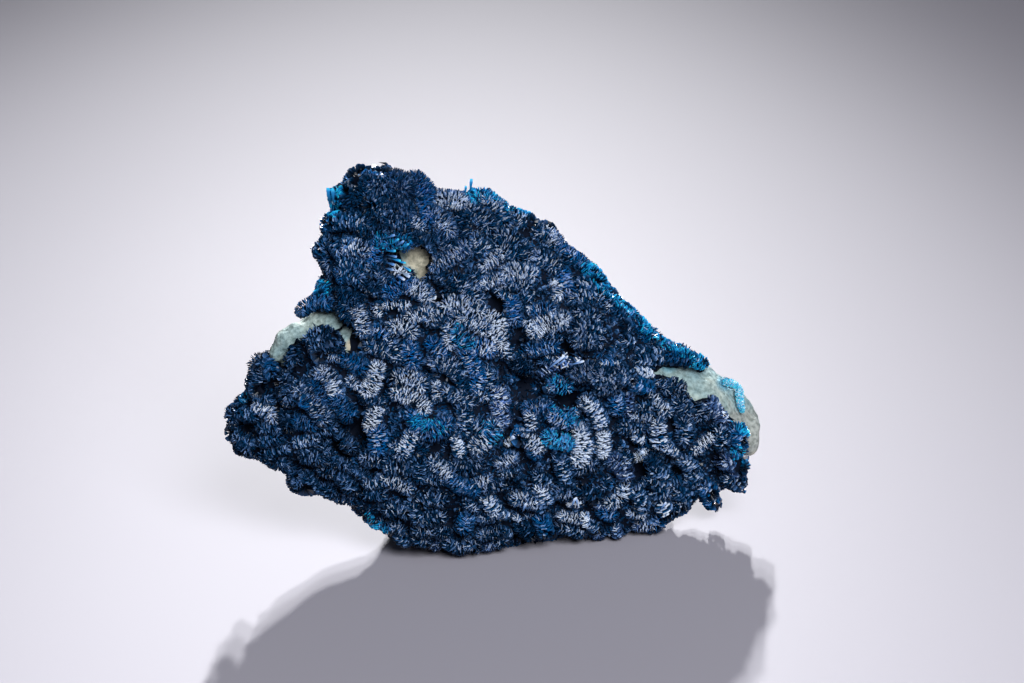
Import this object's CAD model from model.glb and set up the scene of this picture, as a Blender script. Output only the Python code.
"""The looks of the veszelyite specimen: every blade of its crystal ridges, the pale rock under them
and the light-blue streak, on a pale floor."""

import math

import bmesh
import bpy
import numpy as np
from mathutils import Matrix, Vector, noise
from mathutils.bvhtree import BVHTree
from mathutils.kdtree import KDTree


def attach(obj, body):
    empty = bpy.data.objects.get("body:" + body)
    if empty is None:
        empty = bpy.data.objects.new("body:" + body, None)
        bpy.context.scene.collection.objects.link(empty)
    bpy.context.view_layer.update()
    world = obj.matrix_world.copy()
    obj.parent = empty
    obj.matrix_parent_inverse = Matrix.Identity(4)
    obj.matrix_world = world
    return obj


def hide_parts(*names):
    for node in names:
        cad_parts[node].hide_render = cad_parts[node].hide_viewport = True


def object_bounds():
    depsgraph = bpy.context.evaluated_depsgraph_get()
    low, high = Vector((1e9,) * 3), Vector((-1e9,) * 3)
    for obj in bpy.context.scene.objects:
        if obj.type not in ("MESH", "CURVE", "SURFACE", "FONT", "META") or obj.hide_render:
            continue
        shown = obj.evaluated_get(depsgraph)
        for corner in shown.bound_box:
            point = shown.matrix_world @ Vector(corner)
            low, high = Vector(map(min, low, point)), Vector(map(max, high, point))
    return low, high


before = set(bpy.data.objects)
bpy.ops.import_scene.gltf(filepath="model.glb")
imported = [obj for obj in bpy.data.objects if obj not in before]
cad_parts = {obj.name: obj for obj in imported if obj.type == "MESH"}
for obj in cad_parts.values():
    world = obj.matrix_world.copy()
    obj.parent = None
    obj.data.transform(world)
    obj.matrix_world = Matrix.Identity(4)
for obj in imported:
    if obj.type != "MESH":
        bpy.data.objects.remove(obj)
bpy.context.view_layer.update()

# The view
# The camera looks at the face from the front and above. Places on the face are given as (u, v): mm to
# the right and up the picture from the spot where the crust meets the floor, as the camera sees them.
# w is mm towards the camera.
MM = 0.001
ELEVATION = math.radians(25)
CAMERA_DISTANCE = 284
CENTRE_U = 1.9
CENTRE_V = 21.35
CONTACT = Vector((-0.59, -8.758, 0))
RIGHT = Vector((1, 0, 0))
UP = Vector((0, math.sin(ELEVATION), math.cos(ELEVATION)))
TOWARDS = Vector((0, -math.cos(ELEVATION), math.sin(ELEVATION)))
EYE = CONTACT + RIGHT * CENTRE_U + UP * CENTRE_V + TOWARDS * CAMERA_DISTANCE

camera_data = bpy.data.cameras.new("camera")
camera_data.lens = 100
camera_data.sensor_width = 36
camera_data.clip_start = 0.01


def added(name, data):
    """A new object of the scene."""
    ob = bpy.data.objects.new(name, data)
    bpy.context.scene.collection.objects.link(ob)
    return ob


camera = added("camera", camera_data)
camera.location = EYE * MM
camera.rotation_euler = TOWARDS.to_track_quat("Z", "Y").to_euler()
bpy.context.scene.camera = camera


def place(u, v, w):
    """The point in mm that the camera sees at (u, v), w mm towards it."""
    nearer = 1 - w / CAMERA_DISTANCE
    right = CENTRE_U + (u - CENTRE_U) * nearer
    up = CENTRE_V + (v - CENTRE_V) * nearer
    return CONTACT + RIGHT * right + UP * up + TOWARDS * w


# The ridges of blades
# Thin veszelyite blades with chisel ends, dark blue with pale glints. They stand side by side across
# short ridges, fan round both ends of each, and have grown together at their roots.
rng = np.random.default_rng(7)
# Each ridge as read off the face: where it starts and ends and its radius, in mm, its look, and how
# far its middle bows to the left, where it does. n is navy, b cobalt, c azure, l lilac and w whitish;
# 0 dark to 3 glinting; f finer blades and L larger ones.
RIDGES = {
    "crown": (
        (-14.6, 37.2, -10.8, 38.3, 1, "b1f", 0.4), (-11.6, 36.9, -9.4, 36.7, 1.8, "n1f"),
        (-7.6, 37.8, -6.6, 36.4, 1.4, "b1f"), (-11.9, 34.9, -8.7, 34.4, 1.2, "n1f", -0.4),
        (-14.6, 36.2, -13.9, 34.4, 1, "n0"), (-16.1, 36.4, -15.7, 35, 0.6, "c2"),
        (-17, 33.1, -16.2, 33.5, 0.8, "b1"), (-15.7, 33.3, -12.8, 33.1, 1, "n1", 0.2),
        (-12.9, 32.4, -10.9, 32.3, 0.8, "n0"), (-17.7, 30.2, -16.4, 31.2, 0.9, "n1"),
        (-15.8, 31, -15.2, 30.2, 0.8, "n1"), (-16.8, 29.6, -16.3, 28.7, 0.8, "n1"),
        (-14.4, 30.8, -12.4, 30.4, 1, "n2", 0.2), (-11.6, 30.9, -11.9, 29.6, 0.8, "b1"),
        (-14.9, 29.2, -12.6, 29, 0.8, "n1", 0.1), (-14.8, 28.2, -13.2, 27.6, 1, "n1"),
        (-15.4, 28.3, -15.1, 27.6, 0.6, "b1"), (-10.4, 31.2, -8.5, 30.9, 0.8, "b1", 0.3),
        (-8.1, 33.6, -7.2, 32.7, 0.7, "n2"), (-6.9, 35, -6.4, 33.5, 1, "b1"),
        (-5.2, 36.1, -2.8, 34.9, 1.1, "n3", 0.2), (-6.2, 34, -4.4, 32.4, 1.1, "n2", 0.2),
        (-7.5, 31.7, -6.5, 31.2, 1, "n0"), (-5.5, 31.8, -4.3, 30.8, 0.9, "n1"),
        (-6.1, 29, -2.9, 30.7, 1, "n2", -0.2), (-10.3, 26.3, -8.6, 27.2, 1, "b1", 0.2),
        (-8, 26.8, -6.5, 25.6, 1, "n3", 0.2), (-12.6, 27, -11.6, 26.4, 0.8, "n0"),
        (-15, 26, -13.6, 25.4, 0.9, "n0"), (-12.6, 37, -13.4, 35.6, 0.9, "n0"),
        (-8.9, 33, -10.4, 33.2, 0.8, "n1"), (-9.6, 28.4, -8.4, 28.2, 0.6, "w3L"),
        (-11.4, 28.2, -10.6, 27.5, 0.7, "n1"), (-2.1, 35.2, -2.1, 36.9, 0.4, "c2"),
        (-14, 36.8, -13, 37.1, 0.9, "n0"),
    ),
    "shoulder": (
        (-1.6, 36.1, 0.4, 36.2, 0.8, "a2", 0.1), (-0.6, 35.6, 0.7, 34.7, 0.9, "n2"),
        (1.1, 35.5, 1.8, 35.1, 0.8, "n1"), (-2.3, 34.4, -0.5, 32.8, 1.1, "n1", 0.2),
        (-3.3, 33.6, -2.7, 31.8, 0.9, "n0"), (0.9, 34.4, 1.2, 33, 0.9, "n1"),
        (2, 35, 3, 34.6, 0.7, "a2"), (3.3, 34.6, 4.3, 34.2, 0.7, "l2"), (2.4, 33.5, 3, 33, 0.7, "n1"),
        (4.1, 33.2, 5.5, 33.3, 0.8, "n1", 0.1), (5.9, 33.5, 6.6, 32.5, 0.8, "l2"),
        (4.6, 32.2, 6.3, 31.3, 1, "n1", 0.2), (0.4, 31.9, 2.2, 31.3, 1, "n1", 0.2),
        (0.7, 30.7, 2.1, 30, 1, "n1", 0.1), (-1.9, 31.5, -0.9, 30.6, 0.9, "n1"),
        (6.9, 31.6, 7.6, 30.5, 0.8, "b1"), (3, 30.9, 3.8, 29.5, 0.8, "n1"),
        (4.3, 29.8, 6.1, 28.8, 1, "n1", 0.2), (0.5, 29.9, -0.8, 28.9, 0.9, "n2"),
        (1.3, 28.1, 3.7, 28, 1.1, "n2", 0.3), (-0.9, 27.1, 0.5, 27.6, 0.8, "n2", 0.1),
        (-1.9, 27.9, -1.3, 27.1, 0.6, "n1"), (-3.6, 27.5, -2.6, 26.3, 0.9, "n1", 0.1),
        (-5.3, 27.9, -3.8, 26.9, 0.9, "n0"), (-1.9, 26.5, -1.3, 25.5, 0.8, "n1"),
        (1.6, 27.1, 3.4, 26.9, 0.8, "n1", 0.1), (7.5, 29.6, 9.5, 28.7, 1, "n0", 0.2),
        (7.9, 30.5, 9.2, 29.7, 0.8, "b1"), (7, 27.9, 7.4, 26.5, 0.9, "b1"),
        (6.2, 27.1, 6.3, 25.7, 0.7, "n2", 0.3), (8.3, 26.7, 10.5, 27.2, 1, "n1", 0.2),
        (8, 25.6, 9.7, 25.8, 0.8, "n1", 0.1), (10.4, 26, 11.5, 24.7, 0.9, "n1", 0.2),
        (9.9, 28.3, 10.9, 27.4, 0.8, "a2"), (3.2, 25.9, 3.7, 25.5, 0.6, "n1"),
        (0.8, 26, 1.5, 25.8, 0.5, "n1"), (11.5, 26.3, 12.5, 25.6, 0.7, "a2"),
        (13, 25, 13.8, 24.4, 0.6, "a2"), (12, 24.8, 12.8, 24, 0.8, "n0"),
    ),
    "heart": (
        (1.9, 25.2, 2.2, 23.6, 0.9, "b1"), (-4.7, 25, -1.5, 24.4, 1.1, "n2", 0.3),
        (-6.2, 23.6, -4.7, 24.1, 1, "n1", 0.2), (-0.5, 24, 0.7, 22.8, 0.9, "n3", 0.2),
        (-3, 23.8, -0.9, 22.6, 1, "n2", 0.2), (-4.4, 22.8, -4.3, 21.3, 0.9, "n2"),
        (0, 22.3, 0.9, 21, 0.9, "n3", 0.2), (1.6, 21.4, 1.3, 20.1, 0.7, "n1"),
        (-10.6, 25, -8.7, 24.9, 0.6, "n2"), (-11.7, 24.7, -11.4, 24.1, 0.5, "n2"),
        (-8.2, 23.8, -6.3, 24.2, 0.9, "n2", 0.1), (-9.8, 22.9, -8.2, 22.3, 1, "n2", 0.4),
        (-11.5, 22.4, -10.6, 21.8, 0.8, "b1"), (-10.2, 21.8, -9.4, 19.8, 0.9, "n1", 0.2),
        (-12.2, 21, -10.7, 20.4, 0.9, "n1"), (-13.5, 24.4, -12.9, 22.5, 0.9, "n2"),
        (-15.1, 24.8, -14.5, 23.6, 0.8, "n0"), (-8.4, 20.6, -8, 19.4, 1.1, "b1"),
        (-6, 21.1, -5.2, 20.1, 0.9, "b1"), (-5.6, 19.3, -3.5, 18.3, 1.1, "n1", 0.4),
        (-3.5, 22.1, -2.3, 20.9, 1, "n1", 0.2), (-1.9, 20.9, -0.5, 20.6, 1, "b2", 0.1),
        (-2.5, 19.9, -1.8, 18.5, 1, "b1"), (-0.5, 18.3, -0.2, 17, 0.7, "n1"),
        (-1.4, 18, -1.7, 16.9, 0.9, "b1"), (-3.4, 17.8, -2.8, 16.8, 0.8, "n0"),
        (-9.6, 17.7, -7.2, 17, 1, "n2", 0.4), (-9.4, 16.3, -7, 14.8, 1, "n3", 0.2),
        (-7.9, 14.1, -4.8, 13, 1.1, "b1", -1.2), (-11.6, 18.6, -12.5, 16.5, 1, "n3", 0.2),
        (-12.7, 15.8, -11.3, 15.3, 0.8, "n0"), (-11.6, 14.6, -12.2, 13, 0.9, "n3"),
        (-5.7, 17, -5.6, 15.8, 0.6, "n2"), (-4.9, 16.4, -3.9, 15.9, 0.8, "n1"),
        (-3.2, 16, -2.6, 15.2, 0.9, "n1"), (-1.7, 16.3, -0.9, 15.9, 0.8, "n1"),
        (0.4, 16.4, 0.8, 15.4, 1, "l2"), (-3, 14.6, -3.1, 12.5, 1, "n1", 0.2),
        (-1.9, 13.2, -1.1, 12.6, 0.8, "n1"), (0.4, 15, 1, 13.5, 0.9, "l1"),
        (0.1, 12.9, -1.6, 10.9, 1.1, "n2", 0.2), (-3.7, 11.8, -3.3, 10.3, 0.7, "n2"),
        (-11.5, 12.3, -11.4, 10.9, 1.1, "b1"), (-8, 12.1, -8.8, 10.6, 0.9, "n2"),
        (-9.9, 10.8, -9.1, 10.1, 0.9, "n1"), (-7.5, 11.3, -6.9, 10.6, 0.8, "n0"),
        (-14.7, 19.8, -13.3, 18.9, 1, "b0"), (-14.2, 17.6, -13.6, 17, 0.6, "n2"),
    ),
    "left_wing": (
        (-18.3, 21.9, -16.1, 22.1, 1, "n1", 0.3), (-17.5, 20.8, -15.5, 21.1, 1, "n1", 0.1),
        (-20.1, 20.9, -19.8, 19.5, 1, "n1"), (-17.7, 19.9, -15.4, 19.6, 0.5, "n2"),
        (-23.3, 19.6, -23.6, 16.8, 1.1, "n1", 0.1), (-22.3, 19.5, -22, 18.2, 0.9, "b1"),
        (-23.4, 16, -22.3, 15.6, 0.9, "n1"), (-23.3, 14.9, -21.9, 13.8, 0.9, "n3", 0.1),
        (-25.4, 15.9, -24.4, 16.3, 0.5, "c2"), (-26.4, 14.7, -25.9, 13.7, 0.8, "n1"),
        (-25.3, 14.3, -23.6, 13.9, 0.8, "n1"), (-26, 13, -25.9, 12, 0.6, "n1"),
        (-25.3, 11.7, -24.1, 11.1, 1, "n1"), (-25.1, 10.4, -23.6, 10, 0.8, "n1"),
        (-22.9, 12.7, -21.5, 12.8, 0.8, "n1"), (-22.8, 11.5, -21.2, 11.9, 0.8, "n1"),
        (-22.4, 10.3, -20.5, 10.8, 0.7, "n1"), (-22.5, 9.4, -20.7, 9.3, 0.9, "n1"),
        (-20.8, 17.5, -20.3, 15.8, 1.1, "n1"), (-19.2, 16.6, -17, 13.9, 1.2, "n2", 0.3),
        (-17.1, 18.4, -15.7, 16.4, 1, "n3", 0.2), (-17.8, 17, -17, 15.6, 0.9, "b1"),
        (-15.8, 15.8, -14.4, 14.1, 1, "b1"), (-20.9, 13.9, -20.3, 13, 0.9, "n0"),
        (-19.5, 13.4, -18, 13, 0.8, "b1"), (-19.5, 11.3, -17.7, 11.7, 0.7, "n2"),
        (-17.3, 12.2, -15.9, 12.7, 0.7, "n1"), (-18.6, 10, -17.2, 9.8, 1, "n1"),
        (-17, 10.9, -16.4, 10.4, 0.7, "n1"), (-15, 11.6, -14.2, 10.9, 0.9, "n1"),
        (-16, 9.5, -14.8, 9.1, 0.8, "n1"), (-19.8, 8.4, -19.3, 7.5, 1, "n1"),
        (-18.6, 7.9, -17.8, 6.8, 0.8, "n1"), (-20.2, 7.1, -18.9, 6.6, 0.7, "n1"),
        (-16.9, 8.6, -15.4, 8.1, 0.8, "n1"), (-16.8, 6.9, -16.2, 6.1, 0.8, "n1"),
        (-15, 7.8, -14.3, 6.9, 0.9, "n1"), (-13.9, 8.6, -13, 8.1, 0.7, "n1"),
        (-15.3, 5.8, -14, 5.6, 0.7, "n1"), (-19.2, 24.4, -17.7, 25.2, 0.8, "b1", 0.1),
        (-17.6, 25.8, -16.4, 25.2, 0.9, "b1"), (-17.5, 27.3, -17.3, 26.9, 0.5, "c2"),
    ),
    "foot": (
        (-12.7, 9.8, -11.3, 9.6, 0.9, "n1"), (-6, 9.4, -4.5, 8.1, 0.9, "n2"),
        (-3.8, 8.9, -1.5, 9.2, 0.9, "n1", -0.4), (-10.3, 8.7, -8.5, 8.7, 0.9, "n1", 0.1),
        (-7.4, 9.3, -7.2, 7.9, 0.9, "n1"), (-12.4, 7.3, -11.3, 7.4, 0.8, "n1"),
        (-10.7, 7.6, -8.5, 6.7, 0.8, "n2", 0.1), (-6.5, 7.7, -5.3, 7.5, 0.7, "n1"),
        (-4.1, 7.7, -3.1, 6.9, 0.9, "b1"), (-2.5, 7, -1.9, 6.5, 0.8, "b1"),
        (-1.8, 7.1, -0.6, 7.6, 0.7, "n2"), (-7.1, 5.4, -5.2, 5.5, 0.9, "n1", 0.4),
        (-10.3, 4.6, -8.6, 4.4, 0.9, "n1", 0.4), (-13, 5.1, -12.2, 4.5, 0.8, "n0"),
        (-12.5, 6.1, -11.1, 6.1, 0.7, "n1"), (-8.1, 4.9, -7.5, 3.8, 0.8, "n1"),
        (-6.9, 3.6, -5.3, 3.9, 0.9, "n1"), (-2.5, 5.1, -1.9, 4.7, 0.6, "n1"),
        (-2.6, 3.8, -2.9, 2.9, 0.9, "b1"), (-0.6, 5.7, 0.1, 4.6, 0.9, "n2"),
        (-0.8, 6.6, 0.6, 7.1, 0.8, "n1"), (-1.1, 3.8, 0.4, 4.1, 0.8, "n1"),
        (0.7, 4.2, 1.3, 4, 0.5, "n2"), (-9.3, 1.9, -8.6, 1.4, 0.8, "n1"),
        (-7.5, 1.6, -6.8, 1.5, 0.8, "n1"), (-5.9, 1, -5.7, 0.7, 0.6, "l1"),
        (-4.4, 1.3, -3.9, 1, 0.8, "n1"), (-3.6, 1.1, -3, 0.8, 0.8, "n1"),
        (-2.5, 1.3, -1.9, 1, 0.9, "n1"), (-0.8, 1, -0.3, 0.9, 0.7, "l1"),
        (0.7, 1.3, 1.1, 1.1, 0.7, "n1"), (-1.1, 2.1, 0.5, 2.4, 0.8, "n1"),
        (1, 2.4, 1.5, 2.2, 0.6, "n1"), (-11.3, 3.4, -10.3, 2.9, 0.8, "n1"),
        (-11.8, 2.9, -11.5, 2.7, 0.4, "c2"), (-9.8, 2.9, -9.2, 2.6, 0.8, "n1"),
        (-7.4, 2.6, -6.5, 2.5, 0.9, "n1"), (-5.4, 2.5, -4.9, 2.3, 0.7, "n1"),
        (0.8, 9.2, 1.9, 9.7, 0.8, "n2"), (0.9, 8.1, 1.8, 8.2, 0.6, "n1"), (4.4, 8, 5.3, 7.3, 0.8, "n1"),
        (2.7, 11.9, 4.5, 10.8, 0.9, "n3", 0.1), (3.9, 10.4, 4.3, 10, 0.6, "b1"),
        (4.7, 6.7, 5.2, 5.6, 0.9, "n2"), (2.3, 5.7, 3.9, 5.4, 0.9, "n2", 0.1),
        (4.2, 5.1, 4.8, 4.8, 0.7, "n1"), (6.4, 6.4, 7.5, 6.2, 0.9, "n1"),
        (8.7, 6.5, 10.1, 5.9, 0.8, "n0L"), (7.8, 5.2, 8.5, 5.2, 0.5, "n3L"),
        (6.9, 4, 8.5, 3.7, 0.7, "n3"), (9.1, 4.1, 9.2, 3.2, 0.5, "n3"), (4.8, 3.7, 5.2, 2.5, 0.9, "b1"),
        (2.8, 2.9, 3.6, 2.3, 0.9, "n0"), (2.2, 3.9, 2.5, 3.7, 0.4, "n2"),
        (7.6, 2.8, 8.7, 2.3, 0.8, "n1"), (6.5, 2.9, 7.1, 2.7, 0.7, "n1"),
        (9.7, 3.2, 10.2, 2.8, 0.7, "n1"), (10.3, 2, 10.7, 1.9, 0.6, "l1"),
        (1.5, 11.2, 2.1, 11.7, 0.4, "w3"),
    ),
    "right_wing": (
        (3.6, 14.6, 5.3, 14.8, 0.9, "b1", 0.1), (3.6, 14.1, 3.9, 13, 0.7, "n2"),
        (5.6, 11.7, 7.3, 11.4, 1, "c3"), (6, 14, 7.3, 13.3, 0.9, "b2"),
        (7.5, 14.6, 8.1, 14.2, 0.6, "n2"), (8.5, 12.4, 8.6, 9.7, 1.1, "n3", 0.4),
        (11, 12.1, 11, 10.3, 0.8, "n3"), (9.3, 15.4, 10.7, 13.3, 0.9, "n2", 0.2),
        (6.7, 9.5, 7.2, 7.7, 0.9, "n1"), (8.5, 8.7, 9.8, 9.1, 0.9, "n1"),
        (4.3, 22.5, 6.9, 23.5, 1.1, "n3", 0.2), (3.4, 23.2, 4.2, 22.6, 0.6, "n2"),
        (5.7, 21.9, 6.5, 21.5, 0.7, "n1"), (3.6, 24.8, 3.7, 24.4, 0.4, "n2"),
        (4.2, 24.4, 5.7, 24.5, 0.9, "b1", 0.1), (4, 20.6, 6.2, 20.9, 0.9, "b1", 0.1),
        (5.4, 19.7, 5.9, 19.4, 0.5, "n2"), (2.4, 19.2, 3.4, 18.7, 0.9, "n0f"),
        (8.3, 24, 10.3, 23.6, 0.9, "n1", 0.4), (8.4, 22.7, 10.2, 22.3, 1.2, "n1", 0.1),
        (8.3, 21.3, 9.6, 21.2, 0.8, "n1"), (10.9, 22.5, 10.5, 21.3, 0.9, "n1"),
        (13.2, 22.5, 13.6, 22.3, 0.7, "n1"), (13.1, 21.5, 13.7, 21.3, 0.7, "n1"),
        (14.4, 22.9, 15.6, 22.1, 1.1, "b0"), (14.3, 24.3, 15.6, 23.2, 0.5, "a2"),
        (16.1, 21.7, 17.5, 21.2, 0.6, "a2"), (18.2, 21.1, 20.4, 20.4, 0.5, "c2"),
        (14.4, 20.5, 16.7, 20.3, 0.6, "n1"), (14.4, 19.5, 16.5, 19.5, 0.7, "n1"),
        (17.3, 20.2, 19.4, 19.6, 0.9, "b0"), (20.2, 19.5, 21.1, 19, 0.8, "b1"),
        (8.3, 18.2, 9.7, 18.5, 1.1, "n1f"), (10.3, 18, 11.6, 17.8, 1.2, "n1f"),
        (12.3, 18.2, 13.4, 17.8, 1.1, "n1f"), (10.7, 16.7, 11.9, 16.8, 0.9, "n1f"),
        (10.8, 19.2, 12.4, 19.1, 0.4, "b2"), (14.4, 18.3, 15.8, 18.2, 0.6, "n3"),
        (14, 17.3, 15.3, 16.7, 0.9, "b1"), (15.9, 16, 16.3, 15.7, 0.6, "n2"),
        (6.1, 17.1, 7.2, 16.7, 0.8, "b2"), (5.4, 16.9, 5.7, 16.5, 0.5, "n1"),
        (5, 18.2, 7, 19.9, 0.4, "l2L"), (6.4, 18.8, 7.5, 19.2, 0.4, "l2L"),
        (7.2, 18.9, 8.5, 19.4, 0.4, "l2L"), (12.2, 15.8, 12.4, 14.7, 0.9, "b1"),
        (13.4, 15.8, 13.4, 14.4, 0.7, "l1"), (13.8, 13.9, 15.5, 13.8, 0.8, "n1"),
        (14.6, 14.9, 15.5, 14.8, 0.7, "n1"), (13, 12.8, 14.5, 12.6, 0.8, "n1"),
        (14.2, 11.9, 14.8, 11.6, 0.6, "n2"), (16.4, 15, 17.3, 14.4, 0.8, "n2"),
        (16.4, 13.3, 16.6, 11.4, 1, "n2"), (17.1, 10.9, 18.1, 10.5, 0.7, "n2"),
        (16.4, 17.7, 16.5, 17.3, 0.5, "n2"), (18, 17.5, 18.8, 16.8, 0.9, "n1"),
        (17, 17, 17.3, 16.5, 0.7, "n1"), (18.7, 15.3, 19.2, 14.4, 1.1, "n1"),
        (19, 13.2, 19.1, 11.8, 1.1, "n1"), (20.3, 14.9, 20.6, 14, 1, "n1"),
        (21.3, 15.4, 22.9, 13.8, 1.1, "l1", 0.4), (20.3, 10.6, 21.6, 11.7, 0.7, "n3"),
        (22.5, 12.5, 22.8, 11.3, 1, "n1"), (24.1, 12.7, 24.8, 11.4, 1.1, "b1"),
        (23.1, 9.6, 25, 8.6, 1.1, "l1", 0.2), (23.5, 7.7, 24.8, 7.2, 1, "n1"),
        (20.9, 6.9, 21.6, 6.3, 1, "b1"), (21.6, 5.6, 22.6, 5.2, 0.9, "b1"),
        (18.9, 9.7, 19.7, 8.9, 0.9, "n1"), (19.7, 8.3, 20.3, 7.9, 0.8, "n1"),
        (19.5, 7.5, 20.1, 7.2, 0.7, "n1"), (14.3, 9.8, 15.1, 10.2, 0.6, "w2"),
        (15.5, 9.9, 16.3, 9.1, 0.8, "n0"), (16.1, 8.6, 17.1, 7.9, 0.9, "n1"),
        (15.5, 7.5, 18.4, 7.5, 0.6, "n1", -0.3), (11.9, 9.5, 13.2, 8.2, 1, "l1", 0.2),
        (13.2, 10, 13.5, 9.5, 0.7, "n1"), (11.6, 5.3, 13.1, 6.9, 0.9, "n2", -0.5),
        (11.4, 7.6, 11.1, 6.7, 0.5, "n1"), (14.2, 6.5, 14.9, 5.1, 0.9, "n1"),
        (15.8, 6.3, 17.1, 6.2, 0.9, "n1"), (18.1, 6.5, 19.5, 5.9, 0.9, "n1"),
        (16.7, 5.3, 17.3, 4.3, 0.9, "n2L"), (18.3, 5.2, 19.5, 4.7, 0.9, "n1"),
        (17.8, 4.3, 18.3, 4.1, 0.8, "n1"), (16.4, 3.5, 16.6, 2.7, 0.9, "b1"),
        (14.4, 2.9, 15.8, 2.9, 0.7, "l2", 0.1), (13.7, 4.2, 14.9, 4, 0.6, "n2"),
        (11, 4.4, 11.7, 4.1, 0.8, "b1"), (12.2, 2.9, 12.4, 1.9, 0.6, "l1"),
        (10.3, 5.1, 10.5, 4.9, 0.4, "l1"),
    ),
}
BODY_COLOURS = {
    "n": (0.002, 0.044, 0.128),
    "b": (0.003, 0.115, 0.350),
    "c": (0.014, 0.405, 1.000),
    "a": (0.006, 0.160, 0.460),
    "l": (0.045, 0.100, 0.260),
    "w": (0.480, 0.520, 0.480),
}
FROST_OF = {"n": 1.0, "b": 0.85, "c": 0.22, "a": 0.5, "l": 1.0, "w": 1.0}  # how far each takes frost
TONES = (  # for each tone: how deep the blue is, the share of frosted blades, and how frosted
    (0.6, 0.20, 0.55),
    (0.9, 0.50, 1.00),
    (1.3, 0.75, 1.75),
    (1.6, 0.90, 2.70),
)
REGIONS = {  # for each piece: how frosted its blades are, how deep their blue is, and their size
    "crown": (1.0, 1.4, 0.9),
    "shoulder": (1.6, 1.6, 1.0),
    "heart": (1.7, 1.4, 1.0),
    "left_wing": (0.8, 0.8, 1.0),
    "foot": (1.2, 0.9, 1.0),
    "right_wing": (1.3, 1.0, 1.0),
    "between_left": (0.7, 0.7, 1.2),
    "between_right": (0.7, 0.7, 1.2),
    "rims_left": (0.3, 1.0, 1.38),
    "rims_right": (0.3, 1.0, 1.38),
}
FINE = 0.72  # the size of the finer blades
LARGE = 1.7
BLADE_PITCH = 0.152
BLADE_WIDTH = 0.39
BLADE_THICKNESS = 0.08
WIDTH_APART = 1.02  # from one row of blades to the next, in widths
BLADE_ROOT = 0.30  # where a blade starts, as a share of its ridge's radius
RIDGE_SIDE = math.radians(100)  # how far round a ridge its blades go
SWELL = 1.13  # how much the blades stand out beyond the listed radius
UNEVEN = (0.7, 1.3)  # the least and most of a blade's width and thickness, as shares
SHORTEST = 0.88  # the least of a blade's length, as a share
OUT_TURN = 0.10  # how far blades are off square, outwards and across
WIDE_TURN = 0.20
CREST_POWER = 1.5  # how soon the crest's light falls off down the sides
SHADE_UNEVEN = (0.6, 1.4)
SIDE_SHADE, CREST_SHADE = 0.35, 0.9
FROST_UNEVEN = (0.3, 1.15)
SIDE_FROST, CREST_FROST = 0.05, 1.05
AXIS_STEP = 0.4  # between the points of a ridge's middle line
AXIS_LOOK = 0.3  # how far on and back its direction is read
SETTLE_STEP = 0.12
SETTLE_TRIES = 6
SETTLE_SHARE = 0.9  # how much of a ridge's radius has to find the crust under it
FEWEST = 0.3  # a small ridge that keeps a smaller share of its blades than this is left out
PROUD = 0.3  # the most that a tip stands outside the solid crust
BURIED = 0.86  # a blade whose tip lies within this share of another ridge's radius is left out
TIP_SEARCH = 1.3  # how far off such a ridge is looked for
LONELY = 4  # a blade with fewer neighbours than this, so near, stands in the air and is left out
LONELY_REACH = 0.6

# The bare places of the face, where the rock shows through the crust
WINDOWS = (
    (  # left edge
        (-19.8, 22.9), (-19.4, 23.4), (-18.3, 23.7), (-17.1, 24.0), (-15.6, 24.0), (-15.0, 23.3),
        (-14.0, 22.7), (-13.8, 21.9), (-13.1, 21.1), (-13.4, 20.5), (-14.3, 20.0), (-14.9, 20.3),
        (-14.7, 21.2), (-15.0, 22.0), (-15.6, 22.5), (-16.3, 23.1), (-17.8, 22.9), (-18.7, 22.5),
        (-19.0, 21.8), (-20.1, 21.4), (-20.7, 20.5), (-20.8, 19.3), (-20.7, 18.6), (-21.2, 18.7),
        (-21.5, 19.3), (-22.6, 20.4), (-21.3, 21.4), (-20.8, 22.2), (-20.2, 22.6),
    ),
    (  # right corner
        (16.1, 18.9), (17.0, 19.0), (18.2, 18.8), (19.2, 18.5), (20.4, 18.3), (21.6, 18.7),
        (21.9, 19.7), (22.4, 20.1), (24.0, 19.0), (28.0, 15.0), (28.0, 9.0), (25.8, 9.4),
        (25.6, 10.4), (25.5, 11.4), (25.8, 12.6), (25.5, 13.3), (24.6, 13.3), (23.7, 13.4),
        (23.4, 14.6), (22.8, 15.5), (21.9, 16.1), (20.9, 16.0), (20.8, 15.5), (20.3, 15.3),
        (19.4, 16.3), (19.5, 17.2), (19.2, 17.7), (18.2, 17.9), (17.2, 17.6), (16.1, 17.7),
    ),
    (  # pit under the crown
        (-8.7, 30.1), (-7.7, 30.7), (-6.9, 30.8), (-6.2, 30.1), (-5.9, 29.4), (-6.4, 28.9),
        (-6.5, 28.1), (-6.9, 27.8), (-7.7, 28.4), (-8.2, 29.2), (-8.7, 29.4),
    ),
)
# Dark hollows that no small ridge fills, with their radii
HOLLOWS = (
    (-12.5, 34.8, 1.0), (3.4, 32.3, 0.7), (-5.5, 25.7, 0.7), (0.3, 25.0, 0.9), (2.2, 21.5, 0.8),
    (20.6, 21.3, 1.0), (7.2, 20.9, 0.8), (-10.0, 24.2, 0.7), (-10.4, 17.2, 0.8), (-13.6, 13.0, 1.0),
    (-21.8, 17.3, 0.7), (-24.5, 12.7, 0.7), (-15.7, 11.0, 0.7), (-6.0, 10.5, 0.7), (1.8, 12.5, 0.7),
    (-4.2, 4.2, 0.8), (3.3, 17.0, 1.0), (7.4, 15.6, 1.3), (17.7, 12.8, 0.8), (22.2, 9.6, 0.7),
    (14.6, 8.6, 1.0),
)
HOLLOW_SHARE = 0.6  # how much of a hollow's radius no blade's tip reaches into
HOLLOW_RAGGED = (0.3, 1.3)
HOLLOW_HEIGHT = 1.5  # as a share of its width
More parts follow.
